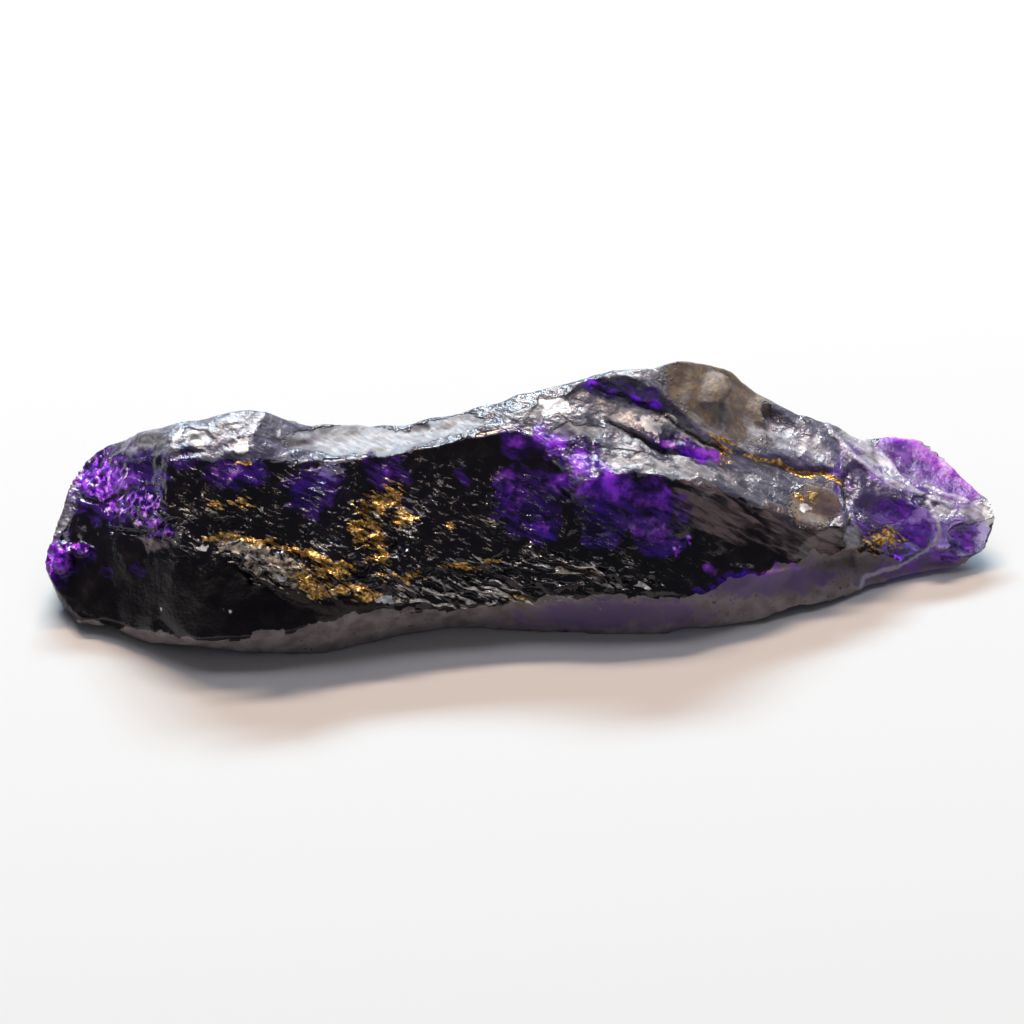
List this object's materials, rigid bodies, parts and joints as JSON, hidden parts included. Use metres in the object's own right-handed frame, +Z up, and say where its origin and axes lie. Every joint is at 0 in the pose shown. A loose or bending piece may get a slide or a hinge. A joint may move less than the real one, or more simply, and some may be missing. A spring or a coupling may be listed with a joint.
{
  "type": "rough tanzanite crystal",
  "caption": "Long rough violet gemstone crystal with hackly broken faces and a clear pointed end, lying on one flat facet.",
  "frame": {"origin": "under the middle of the stone's bounding box, at the height of the flat facet that it rests on", "axes": "+X along the crystal towards its clear pointed end, +Z up from the resting facet, -Y towards the dark broken front face"},
  "size_m": [0.0712, 0.0226, 0.015],
  "materials": {
    "tanzanite": "gloss, deep violet translucent stone with glossy, hackly broken faces and amber-stained ledges"
  },
  "bodies": {
    "root": {"tanzanite_crystal": "tanzanite"}
  },
  "joints": []
}
